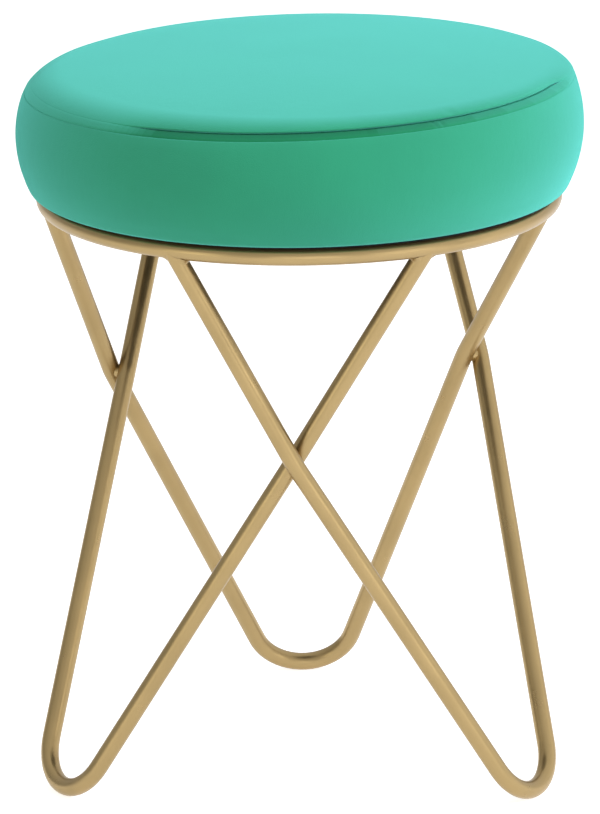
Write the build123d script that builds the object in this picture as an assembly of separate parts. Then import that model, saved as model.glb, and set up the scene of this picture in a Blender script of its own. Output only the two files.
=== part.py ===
from build123d import *
import os
from math import acos, asin, atan2, cos, pi, radians, sin, sqrt, tan

# Round padded ottoman on a welded frame of round tube.
# Millimetres and degrees, +Z up, origin on the floor under the middle of the seat.
# The front of the stool faces -Y, and directions round it are counted from +X.

# Tube frame
tube_diameter = 12.0
tube_wall = 1.2
ring_inset = 19.5            # the ring's centre line, in from the widest part of the seat
ring_height = 388.3          # centre line of the seat ring above the floor
foot_radius = 179.7          # lowest point of each foot bend, out from the middle
foot_bend_radius = 35.2      # centre line of the bend at the floor
arm_spread = 89.0            # each arm's top on the ring, either side of its leg
crossing_inset = 28.4        # where the arms of two legs cross, in from the ring's centre line
crossing_height = 250.7
crossing_gap = 0.2           # between the two tubes at a crossing
weave_bend_radius = 60.0     # slight bend of an arm where it passes its neighbour

# Welds
weld_leg = 5.0               # length of a bead along each of the tubes it joins
weld_width = 10.0
weld_rounding = 4.4          # rounded edges of a bead, which follow the tubes
weld_sink = 0.5              # how deep a bead's edges run out in the tubes
crossing_weld_radius = 4.5
crossing_weld_depth = 6.0
tab_weld_radius = 2.2
tab_weld_length = 16.0

# Tabs inside the ring and the screws that hold the seat
tab_reach = 21.5             # from the ring's centre line in to the screw
tab_width = 22.0
tab_thickness = 2.5
tab_lap = 3.0                # how far the tab stops short of the ring's centre line
tab_hole_diameter = 6.8
screw_diameter = 6.0
screw_length = 16.0
screw_head_diameter = 11.0
screw_head_height = 3.6
screw_head_roundness = 0.6   # rounded edge, as a share of the head's height
screw_socket_across_flats = 4.0
screw_socket_depth = 2.2
washer_outer_diameter = 13.0
washer_thickness = 1.2
washer_bore_clearance = 0.2
tee_nut_flange_diameter = 18.0
tee_nut_flange_thickness = 1.4
tee_nut_barrel_diameter = 8.0
tee_nut_barrel_length = 9.0
thread_clearance = 0.1
board_hole_clearance = 0.1

# Seat board, cloth underneath and staples
board_inset = 17.0           # the board's edge, in from the widest part of the seat
board_thickness = 12.0
dust_cover_inset = 14.0      # the cloth's edge, in from the widest part of the seat
dust_cover_thickness = 0.6
dust_cover_hole_diameter = 10.0
staple_count = 24
staple_turn = 0.5            # of the step between two staples, so that none meets a screw
staple_margin = 5.5          # from the inner edge of the turned-under velvet out to the staples
staple_crown = 10.0
staple_wire = 0.7
staple_bite = 5.0            # depth of a staple's legs in the board
staple_slot_clearance = 0.1

# Cushion
velvet_thickness = 1.6
soft_clearance = 0.3
cushion_radius = 187.0       # widest part of the side
cushion_height = 87.0        # from the turned-under velvet to the top of the crown
bulge_height = 38.6          # widest part above the turned-under velvet
bulge_radius = 81.7          # outward curve of the side, seen in section
bottom_roll_radius = 7.0     # where the side is drawn in under the board
hem_turn = 17.0              # width of the velvet turned under the board
seam_height = 69.3           # sewn seam at the top of the side band
seam_gap = 0.3
strip_rise = 4.2             # the edge strip slopes up and in from the seam
strip_run = 6.8
crease_step = 0.8            # the top panel stands out past the strip at the crease
panel_roll_radius = 17.0     # rolled edge of the top panel
panel_roll_angle = 53.2      # slope of the rolled edge where it meets the crease

# Sizes that follow from the values above
tube_radius = tube_diameter / 2
ring_radius = cushion_radius - ring_inset
crossing_radius = ring_radius - crossing_inset
screw_circle_radius = ring_radius - tab_reach
board_radius = cushion_radius - board_inset
dust_cover_radius = cushion_radius - dust_cover_inset
hem_inner_radius = board_radius - hem_turn
staple_circle_radius = hem_inner_radius + staple_margin
bore_radius = tube_radius - tube_wall
ring_top = ring_height + tube_radius
tab_top = ring_top
tab_bottom = tab_top - tab_thickness
dust_cover_bottom = ring_top + soft_clearance
dust_cover_top = dust_cover_bottom + dust_cover_thickness
hem_bottom = dust_cover_top + soft_clearance
board_bottom = hem_bottom + velvet_thickness + soft_clearance
board_top = board_bottom + board_thickness
foam_inset = velvet_thickness + soft_clearance

# Three legs and three crossings, a third of a turn apart
leg_angles = {"leg_front_left": 210.0, "leg_front_right": 330.0, "leg_back": 90.0}
crossing_angles = {"front": 270.0, "right": 30.0, "left": 150.0}
tab_angles = {"tab_front": 270.0, "tab_back_right": 30.0, "tab_back_left": 150.0}

# The legs are bent and set by hand, so feet and crossings stand a little off the thirds
foot_turns = {"leg_front_left": -3.0, "leg_front_right": -1.9, "leg_back": 0.0}
crossing_turns = {"front": -1.6, "right": 3.3, "left": 1.8}
crossing_rises = {"front": -6.3, "right": 6.3, "left": 0.0}

# Crossings of each leg's two arms, and whether the arm passes inside or outside the other leg's
inside, outside = -1, 1
arm_crossings = {
    "leg_front_left": {"left": inside, "front": inside},
    "leg_front_right": {"front": outside, "right": outside},
    "leg_back": {"right": inside, "left": outside},
}


def polar(angle, radius, height):
    """Point at an angle round the stool, a radius and a height."""
    return Vector(radius * cos(radians(angle)), radius * sin(radians(angle)), height)


def crossing_point(side):
    angle = crossing_angles[side] + crossing_turns[side]
    return polar(angle, crossing_radius, crossing_height + crossing_rises[side])


def foot_point(name):
    """Lowest point of the centre line of one leg."""
    return polar(leg_angles[name] + foot_turns[name], foot_radius, tube_radius)


def arm_top(name, side):
    """End of an arm on the ring's centre line."""
    first_side = list(arm_crossings[name])[0]
    spread = -arm_spread if side == first_side else arm_spread
    return polar(leg_angles[name] + spread, ring_radius, ring_height)


def arm_direction(name, side):
    """Direction of an arm where it passes a crossing, from its top to its foot."""
    crossing = crossing_point(side)
    above = (crossing - arm_top(name, side)).normalized()
    below = (foot_point(name) - crossing).normalized()
    return above + below


def parting_direction(side):
    """Outward direction in which the two arms part at a crossing, square to both."""
    arms = [arm_direction(name, side) for name, sides in arm_crossings.items() if side in sides]
    square = arms[0].cross(arms[1]).normalized()
    outward = polar(crossing_angles[side], 1, 0)
    return square if square.dot(outward) > 0 else -square


def arm_crossing(name, side):
    """Point on an arm's centre line beside the arm that it crosses."""
    layer = arm_crossings[name][side]
    return crossing_point(side) + parting_direction(side) * layer * (tube_diameter + crossing_gap) / 2


def foot_corner(target, before, after):
    """Corner that the foot bend rounds off, so that the bend's lowest point is the target."""
    corner = target
    for _ in range(40):
        to_before = (before - corner).normalized()
        to_after = (after - corner).normalized()
        half_angle = acos(to_before.dot(to_after)) / 2
        bisector = (to_before + to_after).normalized()
        bend_centre = corner + bisector * foot_bend_radius / sin(half_angle)
        plane_normal = to_before.cross(to_after).normalized()
        down = Vector(0, 0, -1)
        down_in_plane = (down - plane_normal * down.dot(plane_normal)).normalized()
        corner = corner + target - (bend_centre + down_in_plane * foot_bend_radius)
    return corner


def weave_corner(top, crossing, foot):
    """Corner of an arm whose slight bend passes through its crossing point."""
    corner = crossing
    for _ in range(10):
        to_top = (top - corner).normalized()
        to_foot = (foot - corner).normalized()
        half_angle = acos(to_top.dot(to_foot)) / 2
        into_bend = (to_top + to_foot).normalized()
        corner = crossing - into_bend * weave_bend_radius * (1 / sin(half_angle) - 1)
    return corner


def leg_points(name):
    """Corners of one leg's centre line, from one arm's top round the foot to the other's."""
    first_side, last_side = arm_crossings[name]
    first_top, last_top = arm_top(name, first_side), arm_top(name, last_side)
    first_crossing, last_crossing = arm_crossing(name, first_side), arm_crossing(name, last_side)
    before, after = first_crossing, last_crossing
    for _ in range(6):
        corner = foot_corner(foot_point(name), before, after)
        before = weave_corner(first_top, first_crossing, corner)
        after = weave_corner(last_top, last_crossing, corner)
    return [first_top, before, corner, after, last_top]


def leg_sweep(name, radius):
    """Round bar of this radius along one leg's centre line."""
    path = FilletPolyline(*leg_points(name), radius=[weave_bend_radius, foot_bend_radius, weave_bend_radius])
    section = Plane(origin=path @ 0, z_dir=path % 0) * Circle(radius)
    return sweep(section, path=path)


def ring_bar(radius):
    return Pos(0, 0, ring_height) * Torus(ring_radius, radius)


def leg_weld_beads(name, leg_bar, full_ring):
    """Fillet beads on both sides of each of a leg's two arms, under the ring."""
    points = leg_points(name)
    beads = []
    for top, crossing in ((points[0], points[1]), (points[4], points[3])):
        tangent = Vector(-top.Y, top.X, 0).normalized()
        arm = (crossing - top).normalized()
        below = (arm - tangent * arm.dot(tangent)).normalized()
        for side in (1, -1):
            along_ring = tangent * side
            cosine = arm.dot(along_ring)
            depth = tube_radius - weld_sink
            reach = depth * (cosine + 1) / sqrt(1 - cosine * cosine)
            corner = top + along_ring * reach + below * depth
            ring_end = corner + along_ring * weld_leg
            arm_end = corner + arm * weld_leg
            half_angle = acos(cosine) / 2
            hollow_radius = weld_leg * tan(half_angle)
            hollow_depth = hollow_radius * (1 / sin(half_angle) - 1)
            hollow_middle = corner + (along_ring + arm).normalized() * hollow_depth
            outline = Wire([
                Line(top, ring_end),
                ThreePointArc(ring_end, hollow_middle, arm_end),
                Line(arm_end, top),
            ])
            normal = along_ring.cross(arm).normalized()
            bead = extrude(Face(outline), amount=weld_width / 2, dir=normal, both=True)
            bead = fillet(bead.edges().filter_by(GeomType.CIRCLE), weld_rounding)
            beads += (bead - full_ring - leg_bar).solids()
    return beads


def crossing_weld(side, leg_bars):
    """Saddle of weld metal between the two tubes at a crossing."""
    plane = Plane(origin=crossing_point(side), z_dir=parting_direction(side))
    spot = plane * Cylinder(crossing_weld_radius, crossing_weld_depth)
    for bar in leg_bars:
        spot -= bar
    return spot.solids()


def tab(angle, full_ring):
    """Flat steel tab with a round end and a screw hole, shaped to the ring it is welded to."""
    length = ring_radius - tab_lap - screw_circle_radius
    outline = Pos(screw_circle_radius + length / 2, 0) * Rectangle(length, tab_width)
    outline += Pos(screw_circle_radius, 0) * Circle(tab_width / 2)
    outline -= Pos(screw_circle_radius, 0) * Circle(tab_hole_diameter / 2)
    plate = Pos(0, 0, tab_bottom) * extrude(outline, amount=tab_thickness)
    return Rot(0, 0, angle) * plate - full_ring


def tab_weld(angle, plate, full_ring):
    """Bead under a tab, along the ring."""
    fall = tab_bottom - ring_height
    contact_radius = ring_radius - sqrt(tube_radius**2 - fall**2)
    bar = Pos(contact_radius, 0, tab_bottom) * Rot(90, 0, 0) * Cylinder(tab_weld_radius, tab_weld_length)
    bead = Rot(0, 0, angle) * bar - full_ring - plate
    return bead.solids()


def at_screws(piece):
    """Copies of a piece made on the Z axis, one on each tab's screw."""
    return [Rot(0, 0, angle) * Pos(screw_circle_radius, 0, 0) * piece for angle in tab_angles.values()]


def seat_screw():
    """Round-headed screw with a hexagon socket, standing head down."""
    head_top = tab_bottom - washer_thickness
    low = (Align.CENTER, Align.CENTER, Align.MIN)
    high = (Align.CENTER, Align.CENTER, Align.MAX)
    shank = Pos(0, 0, head_top) * Cylinder(screw_diameter / 2, screw_length, align=low)
    head = Pos(0, 0, head_top) * Cylinder(screw_head_diameter / 2, screw_head_height, align=high)
    head = fillet(head.edges().sort_by(Axis.Z)[0], screw_head_height * screw_head_roundness)
    socket = RegularPolygon(screw_socket_across_flats / 2, 6, major_radius=False)
    socket = Pos(0, 0, head_top - screw_head_height) * extrude(socket, amount=screw_socket_depth)
    return head + shank - socket


def screw_washer():
    bore = screw_diameter / 2 + washer_bore_clearance
    outline = Circle(washer_outer_diameter / 2) - Circle(bore)
    return Pos(0, 0, tab_bottom - washer_thickness) * extrude(outline, amount=washer_thickness)


def tee_nut():
    """Flanged nut let into the board from above."""
    flange = extrude(Circle(tee_nut_flange_diameter / 2), amount=tee_nut_flange_thickness)
    barrel = extrude(Circle(tee_nut_barrel_diameter / 2), amount=-tee_nut_barrel_length)
    length = tee_nut_barrel_length + tee_nut_flange_thickness
    middle = (tee_nut_flange_thickness - tee_nut_barrel_length) / 2
    bore = Pos(0, 0, middle) * Cylinder(screw_diameter / 2 + thread_clearance, length)
    return Pos(0, 0, board_top) * (flange + barrel - bore)


def staple_places():
    step = 360.0 / staple_count
    turns = [step * (index + staple_turn) for index in range(staple_count)]
    return [Rot(0, 0, turn) * Pos(staple_circle_radius, 0, 0) for turn in turns]


def staple_legs(thickness, rise):
    """The two upright legs of a staple, from its crown into the board."""
    low = (Align.CENTER, Align.CENTER, Align.MIN)
    offset = (staple_crown - staple_wire) / 2
    leg = Pos(0, 0, dust_cover_bottom - staple_wire) * Box(thickness, thickness, rise, align=low)
    return [Pos(0, offset, 0) * leg, Pos(0, -offset, 0) * leg]


def staple():
    rise = board_bottom + staple_bite - dust_cover_bottom + staple_wire
    low = (Align.CENTER, Align.CENTER, Align.MIN)
    crown = Box(staple_wire, staple_crown, staple_wire, align=low)
    crown = Pos(0, 0, dust_cover_bottom - staple_wire) * crown
    legs = staple_legs(staple_wire, rise)
    return crown + legs[0] + legs[1]


def staple_slots():
    """Slots that the staples' legs make in the cloth, the velvet and the board."""
    rise = board_bottom + staple_bite - dust_cover_bottom + staple_wire + staple_slot_clearance
    legs = staple_legs(staple_wire + 2 * staple_slot_clearance, rise)
    return [place * leg for place in staple_places() for leg in legs]


# Section of the cushion, in the XZ plane: X out from the middle, Y of the sketch up.
class CushionSection:
    """Outline of the velvet, or of the foam when it is drawn in by an inset."""

    def __init__(self, inset):
        self.inset = inset
        self.bulge_centre = (cushion_radius - bulge_radius, hem_bottom + bulge_height)
        self.bulge = bulge_radius - inset
        self.roll = bottom_roll_radius - inset
        self.roll_centre = self.find_roll_centre()
        self.seam = self.on_bulge(hem_bottom + seam_height)
        self.panel_roll = panel_roll_radius - inset

    def find_roll_centre(self):
        """Centre of the bottom roll, which runs into the bulge with no corner."""
        height = hem_bottom + bottom_roll_radius
        fall = self.bulge_centre[1] - height
        between = bulge_radius - bottom_roll_radius
        return (self.bulge_centre[0] + sqrt(between**2 - fall**2), height)

    def on_bulge(self, height):
        rise = height - self.bulge_centre[1]
        return (self.bulge_centre[0] + sqrt(self.bulge**2 - rise**2), height)

    def bulge_end(self):
        """Where the bulge runs into the bottom roll."""
        across = self.roll_centre[0] - self.bulge_centre[0]
        down = self.roll_centre[1] - self.bulge_centre[1]
        share = self.bulge / sqrt(across**2 + down**2)
        return (self.bulge_centre[0] + across * share, self.bulge_centre[1] + down * share)

    def roll_middle(self):
        end = self.bulge_end()
        angle = asin((end[1] - self.roll_centre[1]) / self.roll)
        middle = (angle - pi / 2) / 2
        return (self.roll_centre[0] + self.roll * cos(middle), self.roll_centre[1] + self.roll * sin(middle))

    def bulge_middle(self):
        return self.on_bulge((self.seam[1] + self.bulge_end()[1]) / 2)

    def roll_bottom(self):
        return (self.roll_centre[0], self.roll_centre[1] - self.roll)

    def strip_ends(self, gap):
        """Lower and upper end of the edge strip, drawn in square to the strip."""
        slope = sqrt(strip_rise**2 + strip_run**2)
        low = CushionSection.outer_seam()
        in_x = -self.inset * strip_rise / slope
        in_y = -self.inset * strip_run / slope
        shift_x = -gap * strip_run / slope
        shift_y = gap * strip_rise / slope
        lower = (low[0] + in_x + shift_x, low[1] + in_y + shift_y)
        upper = (low[0] - strip_run + in_x - shift_x, low[1] + strip_rise + in_y - shift_y)
        return lower, upper

    @staticmethod
    def outer_seam():
        rise = seam_height - bulge_height
        return (cushion_radius - bulge_radius + sqrt(bulge_radius**2 - rise**2), hem_bottom + seam_height)

    def panel_arc(self):
        """Crease end, middle and inner end of the top panel's rolled edge."""
        low = CushionSection.outer_seam()
        crease = (low[0] - strip_run + crease_step, low[1] + strip_rise + seam_gap)
        steep = radians(panel_roll_angle)
        centre = (crease[0] - panel_roll_radius * sin(steep), crease[1] - panel_roll_radius * cos(steep))
        flat = self.crown_slope(centre)
        angles = (steep, (steep + flat) / 2, flat)
        return [(centre[0] + self.panel_roll * sin(a), centre[1] + self.panel_roll * cos(a)) for a in angles]

    @staticmethod
    def crown_slope(centre):
        """Slope at which the rolled edge runs into the crown."""
        top = hem_bottom + cushion_height
        slope = 0.0
        for _ in range(30):
            edge_x = centre[0] + panel_roll_radius * sin(slope)
            edge_z = centre[1] + panel_roll_radius * cos(slope)
            sagitta = top - edge_z
            slope = asin(2 * sagitta * edge_x / (edge_x**2 + sagitta**2))
        return slope

    def crown_arc(self):
        """Edge, middle and top of the crown, with the middle on one round dome."""
        edge = self.panel_arc()[2]
        top = (0.0, hem_bottom + cushion_height - self.inset)
        sagitta = top[1] - edge[1]
        dome = (edge[0] ** 2 + sagitta**2) / (2 * sagitta)
        half = asin(edge[0] / dome) / 2
        return edge, (dome * sin(half), top[1] - dome * (1 - cos(half))), top


def spun(edges):
    """Solid made by turning a closed section round the stool's axis."""
    section = Plane.XZ * make_face(edges)
    return revolve(section, axis=Axis.Z)


def top_panel():
    """Crowned velvet panel with its edge rolled down to the crease."""
    outer, inner = CushionSection(0.0), CushionSection(velvet_thickness)
    outer_roll, inner_roll = outer.panel_arc(), inner.panel_arc()
    outer_crown, inner_crown = outer.crown_arc(), inner.crown_arc()
    return spun([
        ThreePointArc(*outer_crown[::-1]),
        ThreePointArc(*outer_roll[::-1]),
        Line(outer_roll[0], inner_roll[0]),
        ThreePointArc(*inner_roll),
        ThreePointArc(*inner_crown),
        Line(inner_crown[2], outer_crown[2]),
    ])


def edge_strip():
    """Narrow strip of velvet between the crease and the seam."""
    outer_low, outer_high = CushionSection(0.0).strip_ends(seam_gap)
    inner_low, inner_high = CushionSection(velvet_thickness).strip_ends(seam_gap)
    return spun(Polyline(outer_low, outer_high, inner_high, inner_low, close=True))


def side_band():
    """Bulging velvet side, drawn in and turned under the board."""
    outer, inner = CushionSection(0.0), CushionSection(velvet_thickness)
    hem_end = (hem_inner_radius, hem_bottom)
    hem_end_inside = (hem_inner_radius, hem_bottom + velvet_thickness)
    return spun([
        ThreePointArc(outer.seam, outer.bulge_middle(), outer.bulge_end()),
        ThreePointArc(outer.bulge_end(), outer.roll_middle(), outer.roll_bottom()),
        Line(outer.roll_bottom(), hem_end),
        Line(hem_end, hem_end_inside),
        Line(hem_end_inside, inner.roll_bottom()),
        ThreePointArc(inner.roll_bottom(), inner.roll_middle(), inner.bulge_end()),
        ThreePointArc(inner.bulge_end(), inner.bulge_middle(), inner.on_bulge(inner_seam_height())),
        Line(inner.on_bulge(inner_seam_height()), outer.seam),
    ])


def inner_seam_height():
    """The band's top edge slopes down inside, clear of the strip."""
    return hem_bottom + seam_height - velvet_thickness


def foam_pad():
    """Foam that fills the velvet and laps round the board's edge."""
    section = CushionSection(foam_inset)
    roll = section.panel_arc()
    crown = section.crown_arc()
    strip_high = section.strip_ends(0.0)[1]
    strip_low = section.strip_ends(velvet_thickness)[0]
    bulge_top = section.on_bulge(inner_seam_height() - soft_clearance)
    board_side = board_radius + soft_clearance
    lap_bottom = (board_side, section.roll_bottom()[1])
    lap_top = (board_side, board_top + soft_clearance)
    middle_bottom = (0.0, board_top + soft_clearance)
    pad = spun([
        ThreePointArc(*crown[::-1]),
        ThreePointArc(*roll[::-1]),
        Line(roll[0], strip_high),
        Line(strip_high, strip_low),
        Line(strip_low, bulge_top),
        ThreePointArc(bulge_top, section.bulge_middle(), section.bulge_end()),
        ThreePointArc(section.bulge_end(), section.roll_middle(), section.roll_bottom()),
        Line(section.roll_bottom(), lap_bottom),
        Line(lap_bottom, lap_top),
        Line(lap_top, middle_bottom),
        Line(middle_bottom, crown[2]),
    ])
    hollow_depth = tee_nut_flange_thickness + soft_clearance
    hollow = extrude(Circle(tee_nut_flange_diameter / 2 + soft_clearance), amount=hollow_depth)
    return pad.cut(*at_screws(Pos(0, 0, board_top) * hollow))


def seat_board(slots):
    """Plywood disc with holes for the tee nuts."""
    board = Pos(0, 0, board_bottom) * extrude(Circle(board_radius), amount=board_thickness)
    hole_radius = tee_nut_barrel_diameter / 2 + board_hole_clearance
    hole = Pos(0, 0, board_bottom) * extrude(Circle(hole_radius), amount=board_thickness)
    return board.cut(*at_screws(hole), *slots)


def dust_cover(slots):
    """Cloth disc under the board, open at the screws."""
    disc = Pos(0, 0, dust_cover_bottom) * extrude(Circle(dust_cover_radius), amount=dust_cover_thickness)
    opening = extrude(Circle(dust_cover_hole_diameter / 2), amount=dust_cover_thickness)
    return disc.cut(*at_screws(Pos(0, 0, dust_cover_bottom) * opening), *slots)


def build_frame():
    """Ring, legs, tabs and welds."""
    full_ring = ring_bar(tube_radius)
    bars = {name: leg_sweep(name, tube_radius) for name in leg_angles}
    nodes = {"seat_ring": full_ring - ring_bar(bore_radius)}
    leg_beads = []
    for name, bar in bars.items():
        nodes[name] = bar - leg_sweep(name, bore_radius) - full_ring
        leg_beads += leg_weld_beads(name, bar, full_ring)
    nodes["leg_welds"] = leg_beads
    spots = [spot for side in crossing_angles for spot in crossing_weld(side, bars.values())]
    nodes["crossing_welds"] = spots
    tab_beads = []
    for name, angle in tab_angles.items():
        nodes[name] = tab(angle, full_ring)
        tab_beads += tab_weld(angle, nodes[name], full_ring)
    nodes["tab_welds"] = tab_beads
    return nodes


def build_seat():
    """Board, padding, velvet, cloth and fastenings."""
    slots = staple_slots()
    return {
        "seat_board": seat_board(slots),
        "foam_pad": foam_pad(),
        "top_panel": top_panel(),
        "edge_strip": edge_strip(),
        "side_band": side_band().cut(*slots),
        "dust_cover": dust_cover(slots),
        "staples": [place * staple() for place in staple_places()],
        "tee_nuts": at_screws(tee_nut()),
        "seat_screws": at_screws(seat_screw()),
        "screw_washers": at_screws(screw_washer()),
    }


def solids_of(piece):
    pieces = piece if isinstance(piece, list) else [piece]
    return [solid for item in pieces for solid in item.solids()]


if __name__ == "__main__":
    os.makedirs("parts", exist_ok=True)
    for node_name, piece in {**build_frame(), **build_seat()}.items():
        export_step(Compound(children=solids_of(piece)), f"parts/{node_name}.step")
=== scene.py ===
from math import asin, atan2, cos, pi, radians, sin, sqrt, tan

import bpy
from mathutils import Matrix, Vector


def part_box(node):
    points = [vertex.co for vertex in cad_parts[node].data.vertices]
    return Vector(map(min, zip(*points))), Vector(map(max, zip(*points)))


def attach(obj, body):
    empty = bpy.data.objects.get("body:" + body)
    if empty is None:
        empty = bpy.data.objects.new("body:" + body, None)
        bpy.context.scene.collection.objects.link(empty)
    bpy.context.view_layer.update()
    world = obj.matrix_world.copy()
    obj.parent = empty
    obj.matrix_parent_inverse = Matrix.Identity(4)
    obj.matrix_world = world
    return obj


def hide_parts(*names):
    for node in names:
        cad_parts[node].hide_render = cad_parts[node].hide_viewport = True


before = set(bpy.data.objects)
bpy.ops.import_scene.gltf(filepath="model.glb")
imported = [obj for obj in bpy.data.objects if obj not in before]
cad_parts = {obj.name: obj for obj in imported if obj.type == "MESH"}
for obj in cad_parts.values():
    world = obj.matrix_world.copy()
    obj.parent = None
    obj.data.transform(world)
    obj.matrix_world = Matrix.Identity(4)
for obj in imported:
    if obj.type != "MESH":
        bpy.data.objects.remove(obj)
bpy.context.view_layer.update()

bl_info = {
    "name": "Round velvet ottoman",
    "version": (1, 0, 0),
    "blender": (4, 5, 0),
    "location": "View3D > Sidebar > Ottoman",
    "description": "Dresses a round padded ottoman on a frame of gold tube",
    "category": "Object",
}

# The frame is in metres, with +Z up and the floor at 0. The front of the stool faces -Y.
side_low, side_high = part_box("side_band")
panel_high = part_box("top_panel")[1]
board_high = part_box("seat_board")[1]
cloth_low, cloth_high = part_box("dust_cover")

GOLD_NODES = (
    "seat_ring",
    "leg_front_left",
    "leg_front_right",
    "leg_back",
    "leg_welds",
    "crossing_welds",
    "tab_front",
    "tab_back_left",
    "tab_back_right",
    "tab_welds",
)
ZINC_NODES = ("tee_nuts", "staples", "seat_screws", "screw_washers")

# Directions of the three seat screws, in degrees from the right
SCREW_DIRECTIONS = (30.0, 150.0, 270.0)

# Stretches of the edge without a crease, in degrees: middle, half width and fade at each end
FLAT_STRETCHES = ((190.0, 35.0, 16.0), (6.0, 15.0, 12.0))

# Share of the smooth shoulder that the edge strip takes up there
STRIP_SHARE = 0.25

# Point of the stool that all the soft lamps face
LIT_MIDDLE = Vector((0, 0, 0.35))

# Soft lamps: place, size in metres, power in watts, tint, and whether the metal mirrors them
WHITE = (1.0, 1.0, 1.0)
SOFTBOXES = {
    "softbox_right": ((2.0, -0.9, 1.7), 1.4, 43.0, (1.0, 1.0, 1.12), False),
    "softbox_low": ((2.4, 0.1, 0.7), 1.4, 2.5, WHITE, True),
    "softbox_front": ((0.2, -2.6, 0.25), 1.2, 6.0, WHITE, True),
    "softbox_left": ((-2.2, -1.0, 1.2), 1.2, 10.0, (1.0, 1.0, 0.8), False),
    "softbox_top": ((0.2, 0.3, 2.6), 1.4, 7.0, (1.0, 1.0, 1.08), False),
    "softbox_front_left": ((-1.9, -1.9, 0.4), 1.2, 6.0, (1.0, 1.0, 0.9), True),
    "softbox_front_right": ((1.9, -1.9, 0.4), 1.2, 6.0, WHITE, True),
}


class CushionSettings(bpy.types.PropertyGroup):
    """Sizes of the velvet cushion."""

    radius: bpy.props.FloatProperty(
        name="Radius",
        description="Widest part of the side",
        default=side_high.x,
        unit="LENGTH",
    )
    crown_height: bpy.props.FloatProperty(
        name="Crown",
        description="Top of the crown above the floor",
        default=panel_high.z,
        unit="LENGTH",
    )
    hem_height: bpy.props.FloatProperty(
        name="Hem",
        description="Underside of the turned-under velvet above the floor",
        default=side_low.z,
        unit="LENGTH",
    )
    hem_inner_radius: bpy.props.FloatProperty(
        name="Hem inner radius",
        description="Inner edge of the turned-under velvet",
        default=0.153,
        unit="LENGTH",
    )
    bulge_rise: bpy.props.FloatProperty(
        name="Bulge rise",
        description="Widest part of the side above the hem",
        default=0.0386,
        unit="LENGTH",
    )
    bulge_curve: bpy.props.FloatProperty(
        name="Bulge curve",
        description="Radius of the side's outward curve, seen in section",
        default=0.0817,
        unit="LENGTH",
    )
    bottom_roll: bpy.props.FloatProperty(
        name="Bottom roll",
        description="Radius where the side is drawn in under the board",
        default=0.005,
        unit="LENGTH",
    )
    bottom_sag: bpy.props.FloatProperty(
        name="Bottom sag",
        description="How far the bottom roll hangs below the turned-under velvet",
        default=0.0003,
        unit="LENGTH",
    )
    seam_rise: bpy.props.FloatProperty(
        name="Seam rise",
        description="Sewn seam at the top of the side above the hem",
        default=0.0693,
        unit="LENGTH",
    )
    strip_rise: bpy.props.FloatProperty(
        name="Strip rise",
        description="Height of the edge strip",
        default=0.0049,
        unit="LENGTH",
    )
    strip_run: bpy.props.FloatProperty(
        name="Strip run",
        description="How far the edge strip slopes in",
        default=0.0079,
        unit="LENGTH",
    )
    panel_roll: bpy.props.FloatProperty(
        name="Panel roll",
        description="Mean radius of the rolled edge of the top panel",
        default=0.0170,
        unit="LENGTH",
    )
    panel_roll_softer: bpy.props.FloatProperty(
        name="Softer roll",
        description="How much softer the rolled edge is on the left, and tighter on the right",
        default=0.0068,
        unit="LENGTH",
    )
    panel_roll_behind: bpy.props.FloatProperty(
        name="Softer roll behind",
        description="How much softer the rolled edge is behind, and tighter in front",
        default=0.0035,
        unit="LENGTH",
    )
    panel_slope: bpy.props.FloatProperty(
        name="Panel slope",
        description="Slope of the rolled edge at the crease",
        default=radians(53.2),
        subtype="ANGLE",
    )
    crease_depth: bpy.props.FloatProperty(
        name="Crease depth",
        description="How far the strip lies under the rolled edge at the crease",
        default=0.0013,
        unit="LENGTH",
    )
    panel_ease: bpy.props.FloatProperty(
        name="Panel ease",
        description="How far in from the rolled edge the crown starts to bend down",
        default=0.004,
        unit="LENGTH",
    )
    shoulder_slope: bpy.props.FloatProperty(
        name="Shoulder slope",
        description="Slope of the smooth shoulder above the seam, where the crease is drawn out flat",
        default=radians(60),
        subtype="ANGLE",
    )
    velvet_thickness: bpy.props.FloatProperty(
        name="Velvet",
        description="Thickness of the velvet with its backing",
        default=0.0016,
        unit="LENGTH",
    )
    foam_clearance: bpy.props.FloatProperty(
        name="Foam clearance",
        description="Room between the velvet and the foam",
        default=0.0008,
        unit="LENGTH",
    )
    lean: bpy.props.FloatProperty(
        name="Lean",
        description="The padded top leans a little, higher on the right",
        default=radians(1.66),
        subtype="ANGLE",
    )
    lean_forward: bpy.props.FloatProperty(
        name="Lean from front to back",
        description="The padded top is a little higher in front",
        default=radians(0.46),
        subtype="ANGLE",
    )
    lean_shift: bpy.props.FloatProperty(
        name="Lean shift",
        description="How far the padded top has moved to the right",
        default=0.0006,
        unit="LENGTH",
    )
    bottom_rise: bpy.props.FloatProperty(
        name="Bottom rise",
        description="How far the bottom edge is drawn up off the frame in front",
        default=0.0005,
        unit="LENGTH",
    )
    bottom_lean: bpy.props.FloatProperty(
        name="Bottom lean",
        description="The bottom edge is drawn up further towards the right",
        default=radians(0.25),
        subtype="ANGLE",
    )
    segments: bpy.props.IntProperty(
        name="Segments",
        description="Divisions round the cushion before it is subdivided",
        default=160,
        min=48,
    )


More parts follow.
